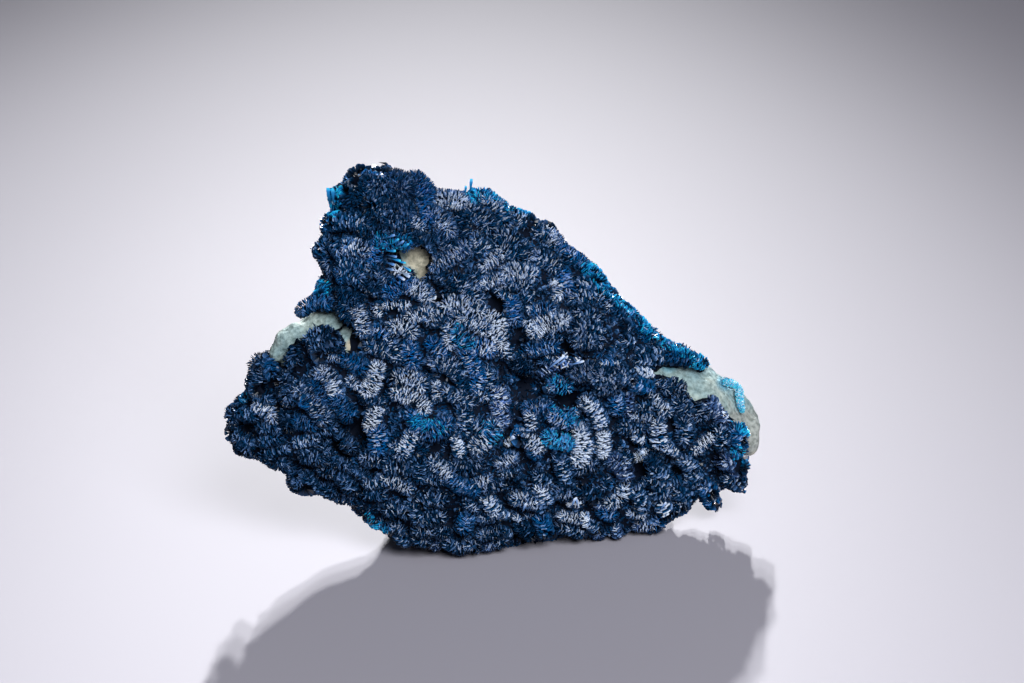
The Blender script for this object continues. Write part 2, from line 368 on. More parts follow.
# Lines along which most blades are azure, how far from a line that fades, and their largest share
AZURE_LINES = (
    ((9.7, 28.5), (15.8, 23.3)), ((15.8, 22.6), (21.2, 19.9)), ((20.5, 18.9), (21.6, 19.3)),
    ((-7.6, 13.4), (-5.2, 12.6)), ((-0.3, 12.7), (0.3, 11.9)), ((6.2, 17.2), (7.2, 16.6)),
    ((6.6, 14.9), (7.9, 13.6)), ((-3.6, 22.3), (-2.6, 21.2)), ((-11.1, 31.3), (-9.0, 31.3)),
    ((-1.8, 36.2), (0.5, 36.2)), ((1.8, 35.3), (3.6, 34.8)), ((-16.3, 36.6), (-16.1, 34.8)),
    ((-17.7, 27.3), (-17.0, 26.6)), ((24.6, 13.4), (25.4, 12.8)), ((24.6, 10.0), (25.1, 9.4)),
    ((-12.2, 3.2), (-11.2, 2.4)),
)
AZURE_REACH = 0.6
AZURE_SHARE = 0.75
AZURE_UNEVEN = (0.2, 1.6)


def seen_at(points):
    """Where the camera sees points given in mm: rows of (u, v)."""
    away = np.asarray(points) - np.array(CONTACT)
    nearer = 1 - away @ np.array(TOWARDS) / CAMERA_DISTANCE
    u = CENTRE_U + (away @ np.array(RIGHT) - CENTRE_U) / nearer
    v = CENTRE_V + (away @ np.array(UP) - CENTRE_V) / nearer
    return np.stack((u, v), axis=-1)


def in_outline(spots, outline):
    """Whether each (u, v) lies inside an outline."""
    inside = np.zeros(len(spots), dtype=bool)
    for (u0, v0), (u1, v1) in zip(outline, outline[1:] + outline[:1]):
        if v0 != v1:
            spans = (spots[:, 1] < v0) != (spots[:, 1] < v1)
            crossing = u0 + (spots[:, 1] - v0) / (v1 - v0) * (u1 - u0)
            inside ^= spans & (spots[:, 0] < crossing)
    return inside


def in_windows(points):
    """Whether the camera sees each point over a bare place, with no rock before it."""
    points = np.asarray(points)
    spots = seen_at(points)
    bare = np.zeros(len(points), dtype=bool)
    for outline in WINDOWS:
        bare |= in_outline(spots, outline)
    for k in np.flatnonzero(bare):
        way = Vector(points[k]) - EYE
        bare[k] = rock_tree.ray_cast(EYE, way.normalized(), way.length)[0] is None
    return bare


def in_hollows(points):
    """Whether the camera sees each point in one of the dark hollows."""
    spots = seen_at(points)
    return np.any([
        np.linalg.norm((spots - (u, v)) / (1, HOLLOW_HEIGHT), axis=1)
        < reach * HOLLOW_SHARE * rng.uniform(*HOLLOW_RAGGED, len(spots))
        for u, v, reach in HOLLOWS
    ], axis=0)


def line_gap(spots, start, end):
    """How far each (u, v) lies from a line."""
    start, end = np.array(start), np.array(end)
    t = np.clip((spots - start) @ (end - start) / ((end - start) @ (end - start)), 0, 1)
    return np.linalg.norm(spots - start - t[:, None] * (end - start), axis=1)


def surface(node):
    """A search tree of a CAD node's faces, in mm."""
    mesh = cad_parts[node].data
    corners = [v.co / MM for v in mesh.vertices]
    return BVHTree.FromPolygons(corners, [tuple(p.vertices) for p in mesh.polygons])


crust_tree = surface("veszelyite_crust")
rock_tree = surface("matrix")


def seen_depth(u, v):
    """How near the crust is where the camera sees (u, v), or None."""
    ray = (place(u, v, 0) - EYE).normalized()
    spot = crust_tree.ray_cast(EYE, ray)[0]
    return None if spot is None else (spot - CONTACT).dot(TOWARDS)


def settle(u, v, radius):
    """Moves (u, v) so that a ridge of that radius there stays inside the crust's outline."""
    ring = [(math.cos(k * math.pi / 4), math.sin(k * math.pi / 4)) for k in range(8)]
    for _ in range(SETTLE_TRIES):
        missed = [(x, y) for x, y in ring if seen_depth(u + x * radius, v + y * radius) is None]
        if not missed:
            break
        u -= SETTLE_STEP * sum(x for x, _ in missed)
        v -= SETTLE_STEP * sum(y for _, y in missed)
    return u, v


def ridge_axis(u0, v0, u1, v1, radius, bow):
    """The middle line of a ridge in mm, laid so that its crest is the crust's own surface."""
    length = math.hypot(u1 - u0, v1 - v0)
    count = max(4, round(length / AXIS_STEP) + 1)
    spots = []
    for t in np.linspace(0, 1, count):
        out = bow * 4 * t * (1 - t)
        u = u0 + (u1 - u0) * t - (v1 - v0) / length * out
        v = v0 + (v1 - v0) * t + (u1 - u0) / length * out
        u, v = settle(u, v, radius * SETTLE_SHARE)
        near = seen_depth(u, v)
        if near is not None:
            spots.append((t, u, v, near))
    if len(spots) < 2:
        return None
    t, u, v, near = np.array(spots).T
    near = np.polyval(np.polyfit(t, near, 1 if len(t) < 6 else 2), t)
    return [place(a, b, w - radius) for a, b, w in zip(u, v, near)]


def unit(rows):
    """Rows of vectors brought to length one."""
    return rows / np.maximum(np.linalg.norm(rows, axis=-1, keepdims=True), 1e-9)


def square_to(out, wide):
    """Rows of ways, turned square to the ways out."""
    return unit(wide - out * (out * wide).sum(1, keepdims=True))


def blades_of(axis, radius, up, size):
    """The blades of one ridge: rows of (root, way out, width's way), along the axis and fanned
    round both its ends."""
    axis = np.array([tuple(p) for p in axis])
    steps = np.linalg.norm(np.diff(axis, axis=0), axis=1)
    run = np.concatenate(([0], np.cumsum(steps)))
    length = run[-1]
    pitch = BLADE_PITCH * size
    step = BLADE_WIDTH * size * WIDTH_APART
    rows = []

    def frame_at(s):
        """The axis point at s and the ridge's way along, its crest's way and its side's way."""
        at = np.array([np.interp(s, run, axis[:, k]) for k in range(3)])
        ahead = np.array([np.interp(min(length, s + AXIS_LOOK), run, axis[:, k]) for k in range(3)])
        behind = np.array([np.interp(max(0.0, s - AXIS_LOOK), run, axis[:, k]) for k in range(3)])
        along = unit(ahead - behind)
        crest = unit(up - along * np.dot(up, along))
        return at, along, crest, np.cross(along, crest)

    count = max(1, round(length / pitch))
    for s in (np.arange(count) + 0.5) * length / count:
        at, along, crest, side = frame_at(s)
        across = max(1, round(2 * RIDGE_SIDE * radius / step))
        offset = rng.uniform(-0.5, 0.5)
        for m in range(across):
            angle = ((m + 0.5 + offset) / across * 2 - 1) * RIDGE_SIDE
            out = crest * math.cos(angle) + side * math.sin(angle)
            wide = side * math.cos(angle) - crest * math.sin(angle)
            slip = along * rng.uniform(-0.3, 0.3) * pitch
            rows.append(np.concatenate((at + slip, out, wide)))
    rings = max(2, round(RIDGE_SIDE * radius / step))
    for s, sense in ((0.0, -1), (length, 1)):
        at, along, crest, side = frame_at(s)
        for j in range(rings):
            fall = (j + 0.5) / rings * RIDGE_SIDE
            around = max(1, round(math.pi * radius * math.sin(fall) / pitch))
            offset = rng.uniform(-0.3, 0.3)
            for m in range(around):
                turn = ((m + 0.5 + offset) / around - 0.5) * math.pi
                level = along * sense * math.cos(turn) + side * math.sin(turn)
                out = crest * math.cos(fall) + level * math.sin(fall)
                wide = level * math.cos(fall) - crest * math.sin(fall)
                rows.append(np.concatenate((at, out, wide)))
    return np.array(rows)


# One blade: a lath with a pointed root and a chisel tip, its width along x, its thickness along y
# and its length along z
BLADE_CORNERS = np.array(
    [(0.0, 0.0, 0.0)]
    + [(x * 0.50, y * 0.50, 0.80) for x, y in ((-1, -1), (1, -1), (1, 1), (-1, 1))]
    + [(-0.36, 0.0, 1.0), (0.36, 0.0, 1.0)]
)
BLADE_FACES = [
    (0, 2, 1), (0, 3, 2), (0, 4, 3), (0, 1, 4), (1, 2, 6, 5), (3, 4, 5, 6), (2, 3, 6), (4, 1, 5),
]
# How frosted and how bright a blade is at its root, at its shoulders and at its tip
BLADE_FROST = np.array([0.0] + [0.6] * 4 + [1.0] * 2)
BLADE_SHADE = np.array([0.0] + [0.45] * 4 + [1.35] * 2)
low, high = (np.array([tuple(c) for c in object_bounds()]) / MM).reshape(2, 3)
INSIDE_LOW = 0.05  # how far inside the box a tip stays
INSIDE = 0.02


def in_box(tips):
    """Whether each tip lies inside the CAD box."""
    return ((tips > low + INSIDE_LOW) & (tips < high - INSIDE)).all(1)


def blade_mesh(name, blades, material):
    """One mesh of many blades. blades: arrays of root, way out, width's way, length, width,
    thickness, body colour and frost."""
    root, out, wide, length, width, thick, colour, frost = blades
    thin = np.cross(out, wide)
    points = (
        root[:, None, :]
        + wide[:, None, :] * (BLADE_CORNERS[None, :, :1] * width[:, None, None])
        + thin[:, None, :] * (BLADE_CORNERS[None, :, 1:2] * thick[:, None, None])
        + out[:, None, :] * (BLADE_CORNERS[None, :, 2:] * length[:, None, None])
    )
    points = np.clip(points, low + INSIDE, high - INSIDE)
    count = len(root)
    corners = len(BLADE_CORNERS)
    first = np.arange(count) * corners
    faces = [tuple(k + f for k in face) for f in first.tolist() for face in BLADE_FACES]
    mesh = bpy.data.meshes.new(name)
    mesh.from_pydata((points.reshape(-1, 3) * MM).tolist(), [], faces)
    tint = mesh.attributes.new("body_colour", "FLOAT_COLOR", "POINT")
    rgba = np.ones((count * corners, 4))
    rgba[:, :3] = np.minimum(colour[:, None, :] * BLADE_SHADE[None, :, None], 1).reshape(-1, 3)
    tint.data.foreach_set("color", rgba.ravel())
    pale = mesh.attributes.new("frost", "FLOAT", "POINT")
    whites = np.minimum(frost[:, None] * BLADE_FROST[None, :], 1)
    pale.data.foreach_set("value", whites.ravel())
    mesh.materials.append(material)
    return added(name, mesh)


def new_material(name):
    """A material with its Principled shader, and its node tree."""
    mat = bpy.data.materials.new(name)
    mat.use_nodes = True
    nodes = mat.node_tree.nodes
    return mat, nodes, mat.node_tree.links, nodes["Principled BSDF"]


def attribute(name):
    """The node that reads one of a mesh's own attributes."""
    layer = nodes.new("ShaderNodeAttribute")
    layer.attribute_name = name
    return layer


def ramp_of(value, *stops):
    """A colour ramp with stops of (place, colour)."""
    ramp = nodes.new("ShaderNodeValToRGB")
    elements = ramp.color_ramp.elements
    while len(elements) < len(stops):
        elements.new(0.5)
    for element, (spot, colour) in zip(elements, stops):
        element.position = spot
        element.color = (*colour, 1)
    links.new(value, ramp.inputs["Fac"])
    return ramp.outputs["Color"]


def mixed(factor, a, b):
    """b laid over a, by a factor."""
    mix = nodes.new("ShaderNodeMix")
    mix.data_type = "RGBA"
    links.new(factor, mix.inputs["Factor"])
    for socket, colour in (("A", a), ("B", b)):
        if isinstance(colour, tuple):
            mix.inputs[socket].default_value = (*colour, 1)
        else:
            links.new(colour, mix.inputs[socket])
    return mix.outputs["Result"]


blade_material, nodes, links, shader = new_material("veszelyite blades")
frosting = attribute("frost").outputs["Fac"]
glint = ramp_of(frosting, (0.0, (0.05, 0.17, 0.44)), (0.5, (0.20, 0.42, 0.88)), (1.0, (0.79, 0.88, 1.0)))
blade_colour = mixed(frosting, attribute("body_colour").outputs["Color"], glint)
links.new(blade_colour, shader.inputs["Base Color"])
shader.inputs["Roughness"].default_value = 0.27
shader.inputs["IOR"].default_value = 1.45
shader.inputs["Specular IOR Level"].default_value = 0.38

ridge_list = []  # (piece, axis, radius, the way its crest looks, look)
for region, rows in RIDGES.items():
    for u0, v0, u1, v1, radius, look, *bow in rows:
        axis = ridge_axis(u0, v0, u1, v1, radius, sum(bow))
        if axis is not None:
            ridge_list.append((region, axis, radius, np.array(TOWARDS), look))
listed_count = len(ridge_list)

# The small ridges
# Lower ridges of the same blades, which fill what shows between the listed ones and go round the rims
# onto the rock's sides.
FILL_TRIES = 40000
FRONT = 0.25  # a skin that looks less towards the camera than this belongs to the rims
FILL_SPACING = 0.9
RIM_SPACING = 1.5
FILL_RADII = (0.5, 0.7)
RIM_RADII = (0.75, 1.05)
FILL_HALVES = (0.1, 0.5)
RIM_HALVES = (0.3, 1.1)
FILL_SUNK = 0.3  # how much lower the ones between the listed ridges lie
FILL_CLEARANCE = 0.15  # from the side of a listed ridge
ROCK_CLEARANCE = 0.55
FILL_LOOKS = {"n1": 0.42, "n0": 0.2, "b1": 0.2, "n2": 0.1, "b0": 0.08}  # with the share of each


def spread_samples(node, count):
    """Points spread evenly over a CAD node, in mm, with the way its faces look."""
    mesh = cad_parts[node].data
    mesh.calc_loop_triangles()
    tris = np.array([t.vertices[:] for t in mesh.loop_triangles])
    co = np.array([v.co[:] for v in mesh.vertices]) / MM
    a, b, c = co[tris[:, 0]], co[tris[:, 1]], co[tris[:, 2]]
    cross = np.cross(b - a, c - a)
    area = np.linalg.norm(cross, axis=1)
    pick = rng.choice(len(tris), size=count, p=area / area.sum())
    s, t = rng.random(count), rng.random(count)
    flip = s + t > 1
    s[flip], t[flip] = 1 - s[flip], 1 - t[flip]
    spots = a[pick] + (b - a)[pick] * s[:, None] + (c - a)[pick] * t[:, None]
    return spots, unit(cross)[pick]


def axis_tree(ridges):
    """A search tree of points along ridges' middle lines, and each point's ridge."""
    points = [(k, p) for k, ridge in enumerate(ridges) for p in ridge[1]]
    tree = KDTree(len(points))
    for k, (_, p) in enumerate(points):
        tree.insert(p, k)
    tree.balance()
    return tree, [k for k, _ in points]


def small_piece(spot, look_way):
    """The piece that a small ridge or a single blade at a spot belongs to."""
    place_name = "between" if np.dot(look_way, TOWARDS) > FRONT else "rims"
    return place_name + ("_left" if spot[0] < 0 else "_right")


listed_tree, listed_owner = axis_tree(ridge_list)
taken = {}
fills = []
spots, faces_look = spread_samples("veszelyite_crust", FILL_TRIES)
for spot, look_way in zip(spots, faces_look):
    piece = small_piece(spot, look_way)
    front = piece.startswith("between")
    cell = tuple(int(math.floor(x / RIM_SPACING)) for x in spot)
    near_cells = [
        taken.get((cell[0] + i, cell[1] + j, cell[2] + k), ())
        for i in (-1, 0, 1) for j in (-1, 0, 1) for k in (-1, 0, 1)
    ]
    spacing = FILL_SPACING if front else RIM_SPACING
    if any(np.linalg.norm(spot - other) < spacing for group in near_cells for other in group):
        continue
    seen = seen_at(spot[None])
    if front and any(math.dist(seen[0], (u, v)) < reach for u, v, reach in HOLLOWS):
        continue
    _, key, gap = listed_tree.find(spot)
    if gap < ridge_list[listed_owner[key]][2] + FILL_CLEARANCE:
        continue
    if rock_tree.find_nearest(Vector(spot))[3] < ROCK_CLEARANCE:
        continue
    taken.setdefault(cell, []).append(spot)
    radius = rng.uniform(*(FILL_RADII if front else RIM_RADII))
    half = rng.uniform(*(FILL_HALVES if front else RIM_HALVES))
    sunk = radius + (FILL_SUNK if front else 0.0)
    any_way = rng.normal(size=3)
    along = unit(any_way - look_way * np.dot(any_way, look_way))
    middle = spot - look_way * sunk
    axis = [Vector(middle - along * half), Vector(middle), Vector(middle + along * half)]
    look = rng.choice(list(FILL_LOOKS), p=list(FILL_LOOKS.values()))
    fills.append((piece, axis, radius, look_way, str(look)))
ridge_list += fills

# The blades of all the ridges
# Each stands on its ridge's middle line, a little off square. What would stand in the air, in another
# ridge, in a hollow or over bare rock is left out.
all_tree, owner = axis_tree(ridge_list)
pieces = {}
for number, (region, axis, radius, up, look) in enumerate(ridge_list):
    region_frost, region_depth, region_size = REGIONS[region]
    size = FINE if "f" in look else LARGE if "L" in look else region_size
    rows = blades_of(axis, radius, up, size)
    at, out, wide = rows[:, :3], rows[:, 3:6], rows[:, 6:]
    count = len(rows)
    out = unit(out + rng.normal(scale=OUT_TURN, size=(count, 3)))
    wide = unit(wide + rng.normal(scale=WIDE_TURN, size=(count, 3)))
    wide = square_to(out, wide)
    tall = radius * SWELL * rng.uniform(SHORTEST, 1.0, count)
    tips = at + out * tall[:, None]
    keep = []
    for tip in tips:
        inside = any(
            owner[j] != number and gap < BURIED * ridge_list[owner[j]][2]
            for _, j, gap in all_tree.find_range(tip, TIP_SEARCH)
        )
        skin, skin_way, _, _ = crust_tree.find_nearest(Vector(tip))
        proud = (Vector(tip) - skin).dot(skin_way) > PROUD
        keep.append(not inside and not proud)
    keep = np.array(keep) & in_box(tips) & ~in_windows(tips) & ~in_hollows(tips)
    if not keep.any() or (number >= listed_count and keep.mean() < FEWEST):
        continue
    deep, share, pale = TONES[int(look[1])]
    deep *= region_depth
    crest = np.clip(out @ np.array(up), 0, 1) ** CREST_POWER
    shade_of_each = rng.uniform(*SHADE_UNEVEN, count) * (SIDE_SHADE + CREST_SHADE * crest)
    shade = np.array(BODY_COLOURS[look[0]]) * deep * shade_of_each[:, None]
    pale *= FROST_OF[look[0]] * region_frost
    pale_share = rng.random(count) < share
    frost = pale_share * pale * rng.uniform(*FROST_UNEVEN, count) * (SIDE_FROST + CREST_FROST * crest)
    gap = np.min([line_gap(seen_at(tips), *line) for line in AZURE_LINES], axis=0)
    azure = rng.random(count) < np.clip(1.8 - gap / AZURE_REACH, 0, AZURE_SHARE)
    shade[azure] = np.array(BODY_COLOURS["c"]) * rng.uniform(*AZURE_UNEVEN, azure.sum())[:, None]
    frost[azure] *= FROST_OF["c"]
    width = BLADE_WIDTH * size * rng.uniform(*UNEVEN, count)
    thick = BLADE_THICKNESS * size * rng.uniform(*UNEVEN, count)
    root = at + out * (radius * BLADE_ROOT)
    blades = (root, out, wide, tall - radius * BLADE_ROOT, width, thick, shade, frost)
    pieces.setdefault(region, []).append([part[keep] for part in blades])

# The single short blades
# Where the crust still shows between the ridges, short dark blades stand on it one by one.
LAWN_TRIES = 62000
LAWN_CLEARANCE = 0.97  # from a ridge's middle line, as a share of its radius
LAWN_OFF_ROCK = 0.25
LAWN_ROOT = 1.0  # how deep they start under the crust's skin
LAWN_LENGTHS = (0.55, 0.98)
LAWN_WIDTHS = (0.25, 0.5)
LAWN_THICKNESSES = (0.08, 0.15)
LAWN_SHADES = (0.25, 1.1)
LAWN_FROST = 0.25
LAWN_TURN = 0.35
HOLLOW_BARE = 0.8  # the share of a hollow's radius that stays free of them
spots, faces_look = spread_samples("veszelyite_crust", LAWN_TRIES)
for side in ("between_left", "between_right", "rims_left", "rims_right"):
    keep = []
    for k, (spot, look_way) in enumerate(zip(spots, faces_look)):
        thinned = side.startswith("rims") and k % 2 == 0
        if small_piece(spot, look_way) != side or thinned:
            continue
        if rock_tree.find_nearest(Vector(spot))[3] < LAWN_OFF_ROCK:
            continue
        _, j, gap = all_tree.find(spot)
        if gap > LAWN_CLEARANCE * ridge_list[owner[j]][2]:
            keep.append(k)
    keep = np.array(keep)
    for u, v, reach in HOLLOWS:
        away = np.linalg.norm(seen_at(spots[keep]) - (u, v), axis=1)
        keep = keep[away > reach * HOLLOW_BARE]
    at, way = spots[keep], faces_look[keep]
    count = len(keep)
    out = unit(way + rng.normal(scale=LAWN_TURN, size=(count, 3)))
    wide = square_to(out, rng.normal(size=(count, 3)))
    length = rng.uniform(*LAWN_LENGTHS, count)
    root = at - out * LAWN_ROOT
    tips = root + out * length[:, None]
    boxed = in_box(tips) & ~in_windows(tips)
    shade = np.array(BODY_COLOURS["n"]) * rng.uniform(*LAWN_SHADES, count)[:, None]
    frost = LAWN_FROST * rng.uniform(0, 1.4, count) ** 3
    width = rng.uniform(*LAWN_WIDTHS, count)
    thick = rng.uniform(*LAWN_THICKNESSES, count)
    blades = (root, out, wide, length, width, thick, shade, frost)
    pieces.setdefault(side, []).append([part[boxed] for part in blades])

# The loose blades
# Long single blades that lie or stand free of the ridges: (u, v) of both ends, the width and the look.
LOOSE_BLADES = (
    (5.0, 18.2, 7.1, 19.9, 0.32, "l3"), (5.9, 18.6, 7.2, 19.5, 0.24, "l2"),
    (7.3, 18.9, 9.1, 19.4, 0.30, "l3"), (6.6, 19.4, 7.5, 19.9, 0.24, "l3"),
    (-2.3, 35.9, -2.15, 37.6, 0.42, "c1"), (-2.8, 35.8, -2.7, 36.9, 0.35, "c1"),
    (-9.5, 28.5, -8.3, 27.8, 0.42, "w2"), (-9.8, 28.1, -8.8, 27.5, 0.34, "l3"),
    (-9.2, 29.0, -8.2, 28.4, 0.3, "c2"), (-10.4, 30.9, -9.4, 31.6, 0.3, "c1"),
    (-9.9, 30.7, -8.9, 31.4, 0.3, "b2"), (-9.3, 30.6, -8.4, 31.1, 0.3, "c1"),
    (-10.9, 31.6, -9.8, 32.0, 0.3, "b2"), (-10.9, 30.4, -9.7, 30.4, 0.34, "c1"),
    (-10.8, 30.0, -9.6, 29.8, 0.3, "b2"), (-10.9, 29.3, -9.8, 29.0, 0.34, "b2"),
    (-11.0, 28.7, -9.9, 28.5, 0.3, "n2"), (-10.5, 29.7, -9.2, 29.4, 0.3, "c2"),
    (-9.9, 29.4, -8.7, 29.2, 0.26, "c2"), (-16.3, 35.0, -16.5, 36.7, 0.45, "c1"),
    (-15.9, 34.9, -16.0, 36.6, 0.45, "c1"), (7.8, 4.7, 8.2, 5.7, 0.3, "l3"),
    (8.5, 4.7, 8.3, 5.8, 0.3, "l3"), (16.6, 4.4, 17.3, 5.3, 0.3, "l3"),
    (2.9, 4.2, 3.3, 5.2, 0.3, "l3"), (1.4, 11.2, 2.1, 11.9, 0.4, "w2"),
    (14.3, 9.7, 15.0, 10.4, 0.4, "w2"),
)
LOOSE_RISE = 0.5  # how far before the crust they lie
LOOSE_TILT = 0.2  # how much deeper the first end lies
LOOSE_WIDTH = 0.8
LOOSE_THICKNESS = 0.4  # as a share of the width
LOOSE_DEPTH = 1.3
LOOSE_FROST = 0.45
loose = []
for u0, v0, u1, v1, width, look in LOOSE_BLADES:
    near = [seen_depth(u0 + (u1 - u0) * t, v0 + (v1 - v0) * t) for t in (0.1, 0.5, 0.9)]
    near = max((w for w in near if w is not None), default=0.0) + LOOSE_RISE
    foot_end, tip_end = np.array(place(u0, v0, near - LOOSE_TILT)), np.array(place(u1, v1, near))
    way = unit(tip_end - foot_end)
    across = unit(np.cross(way, np.array(TOWARDS)))
    length = np.linalg.norm(tip_end - foot_end)
    deep, _, pale = TONES[int(look[1])]
    width *= LOOSE_WIDTH
    shade = np.array(BODY_COLOURS[look[0]]) * deep * LOOSE_DEPTH
    frost = pale * LOOSE_FROST * FROST_OF[look[0]]
    loose.append((foot_end, way, across, length, width, width * LOOSE_THICKNESS, shade, frost))
pieces.setdefault("loose", []).append([np.array(part) for part in zip(*loose)])

# The meshes of the blades
# One for each part of the face. A blade that has grown with hardly any others near it is left out.
blades_in = {
    region: [np.concatenate(parts) for parts in zip(*groups)] for region, groups in pieces.items()
}
all_tips = np.concatenate([b[0] + b[1] * b[3][:, None] for b in blades_in.values()])
tip_tree = KDTree(len(all_tips))
for k, tip in enumerate(all_tips):
    tip_tree.insert(tip, k)
tip_tree.balance()
for region, blades in blades_in.items():
    if region != "loose":
        tips = blades[0] + blades[1] * blades[3][:, None]
        company = np.array([len(tip_tree.find_range(tip, LONELY_REACH)) for tip in tips])
        blades = [part[company > LONELY] for part in blades]
    ob = blade_mesh("crystals_" + region, blades, blade_material)
    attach(ob, "root")
    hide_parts("veszelyite_crust")

# The body of the crust
# The dark mass that the blades have grown out of. It fills the inside of the ridges, lies on the rock
# and is dented in the hollows.
CORE_SUNK = 0.75  # how far its skin lies inside the solid crust
THIN_SHARE = 0.35  # the most of the crust's own thickness that this may take
ROCK_COVER = 0.3  # how thick it stays over the rock
BY_ROCK = 0.55  # the crust's inner side lies nearer to the rock than this
UNDER_ROCK = 0.35  # how deep under the rock's skin it is laid in the bare places
HOLLOW_DEPTH = 1.6


def moved_copy(node, name, inwards, bares=False):
    """A copy of a CAD node's mesh with its skin moved inwards by so many mm, and with what covers
    the bare places laid under the rock."""
    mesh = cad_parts[node].data.copy()
    mesh.name = name
    mesh.materials.clear()
    bm = bmesh.new()
    bm.from_mesh(mesh)
    bmesh.ops.remove_doubles(bm, verts=bm.verts, dist=1e-7)
    bm.normal_update()
    by_rock = [rock_tree.find_nearest(v.co / MM)[3] for v in bm.verts]
    for v, gap in zip(bm.verts, by_rock):
        if gap > BY_ROCK:
            beyond = crust_tree.ray_cast(v.co / MM - v.normal * 0.01, -v.normal)[3]
            thin = inwards if beyond is None else THIN_SHARE * beyond
            v.co -= v.normal * min(inwards, gap - ROCK_COVER, thin) * MM
    if bares:
        bmesh.ops.subdivide_edges(bm, edges=bm.edges, cuts=1, use_grid_fill=True)
        bmesh.ops.triangulate(bm, faces=bm.faces)
        verts = list(bm.verts)
        points = np.array([v.co / MM for v in verts])
        seen = seen_at(points)
        for k, (v, bare) in enumerate(zip(verts, in_windows(points))):
            if bare:
                spot, way, _, _ = rock_tree.find_nearest(v.co / MM)
                v.co = (spot - way * UNDER_ROCK) * MM
            elif rock_tree.find_nearest(v.co / MM)[3] > HOLLOW_DEPTH:
                for hu, hv, reach in HOLLOWS:
                    dip = 1 - math.dist(seen[k], (hu, hv)) / reach
                    if dip > 0:
                        v.co -= TOWARDS * min(1.0, 2 * dip) * HOLLOW_DEPTH * MM
                        break
    bm.to_mesh(mesh)
    bm.free()
    return added(name, mesh)


core_material, _, _, shader = new_material("crust body")
shader.inputs["Base Color"].default_value = (0.0015, 0.005, 0.016, 1)
shader.inputs["Roughness"].default_value = 0.8
shader.inputs["Specular IOR Level"].default_value = 0.15
core = moved_copy("veszelyite_crust", "crust_body", CORE_SUNK, bares=True)
core.data.materials.append(core_material)
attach(core, "root")
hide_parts("veszelyite_crust")

# The rock
# Pale green, altered rock, broken rough, with cream and tan grains; the crystals grow on it and it
# ends in the flat patch that the specimen stands on.
ROCK_VOXEL = 0.40
ROCK_ROUGH = 0.16
ROUGH_SCALE = 0.45
GRAIN_ROUGH = 0.07
GRAIN_SCALE = 2.1
FOOT_LEVEL = 0.25  # below this the rock stays flat
FOOT_BLEND = 0.8
STAINS = {  # places on the face, with their radii
    "cream": ((25.0, 13.0, 2.6), (26.3, 11.5, 2.6), (-25.4, 15.3, 1.4)),
    "tan": (
        (-7.4, 29.6, 1.8), (-6.9, 28.4, 1.2), (-10.4, 30.5, 1.0), (-16.3, 26.8, 0.7),
        (-15.2, 26.0, 0.7), (-14.1, 20.9, 0.9), (22.0, 8.0, 1.2), (26.5, 9.5, 1.4),
    ),
    "blue": (
        (20.9, 19.3, 0.9), (17.6, 19.3, 1.3), (23.4, 17.4, 1.2), (-10.2, 29.5, 0.7), (-8.3, 29.1, 0.7),
    ),
}
ROCK_LUMPS = (  # (u, v), the radius, and the place on the rock that each lies level with
    (25.3, 11.6, 1.5, 25.2, 12.6), (25.6, 10.9, 1.1, 25.2, 12.6), (25.7, 12.9, 1.2, 25.2, 12.6),
    (-20.5, 21.3, 1.5, -18.0, 22.6), (-19.6, 22.2, 1.2, -18.0, 22.6),
    (-21.4, 20.3, 1.1, -18.0, 22.6), (-13.9, 21.0, 1.1, -16.2, 23.4),
    (-14.6, 22.8, 0.9, -16.2, 23.4),
)
LUMP_SUNK = 1.2
LUMP_NEARER = 0.2  # how much nearer a lump comes, as a share of its radius
rock = moved_copy("matrix", "rock", 0.0)
bm = bmesh.new()
bm.from_mesh(rock.data)
for u, v, radius, level_u, level_v in ROCK_LUMPS:
    level_way = (place(level_u, level_v, 0) - EYE).normalized()
    level = rock_tree.ray_cast(EYE, level_way)[3]
    way = (place(u, v, 0) - EYE).normalized()
    middle = EYE + way * (level + LUMP_SUNK - radius * LUMP_NEARER)
    bmesh.ops.create_icosphere(
        bm, subdivisions=3, radius=radius * MM, matrix=Matrix.Translation(middle * MM)
    )
bm.to_mesh(rock.data)
bm.free()
remesh = rock.modifiers.new("remesh", "REMESH")
remesh.mode = "VOXEL"
remesh.voxel_size = ROCK_VOXEL * MM
evaluated = rock.evaluated_get(bpy.context.evaluated_depsgraph_get())
fine = bpy.data.meshes.new_from_object(evaluated)
rock.modifiers.clear()
rock.data = fine
co = np.empty(len(fine.vertices) * 3, dtype=np.float32)
fine.vertices.foreach_get("co", co)
co = co.reshape(-1, 3) / MM
ways = np.empty(len(fine.vertices) * 3, dtype=np.float32)
fine.vertices.foreach_get("normal", ways)
ways = ways.reshape(-1, 3)
dents = np.array([
    ROCK_ROUGH * (noise.fractal(Vector(p) * ROUGH_SCALE, 0.9, 2.2, 4) - 0.6)
    + GRAIN_ROUGH * (noise.noise(Vector(p) * GRAIN_SCALE) - 0.5)
    for p in co
])
dents *= np.clip((co[:, 2] - FOOT_LEVEL) / FOOT_BLEND, 0, 1)
co += ways * np.minimum(dents, 0.0)[:, None]
co[:, 2] = np.maximum(co[:, 2], 0.0)
fine.vertices.foreach_set("co", (co * MM).astype(np.float32).ravel())
facing = ways @ np.array(TOWARDS)
masks = {}
for stain, places in STAINS.items():
    mask = np.zeros(len(co))
    for u, v, reach in places:
        eye = np.array(EYE)
        ray = unit(np.array(place(u, v, 0)) - eye)
        off = co - eye
        miss = np.linalg.norm(off - (off @ ray)[:, None] * ray, axis=1)
        mask = np.maximum(mask, np.clip(1.3 - miss / reach, 0, 1))
    masks[stain] = mask * np.clip(facing * 2 + 0.6, 0, 1)
masks["weathered"] = np.clip(0.45 - 1.3 * facing, 0, 1)
for stain, mask in masks.items():
    layer = fine.attributes.new(stain, "FLOAT", "POINT")
    layer.data.foreach_set("value", mask.astype(np.float32))

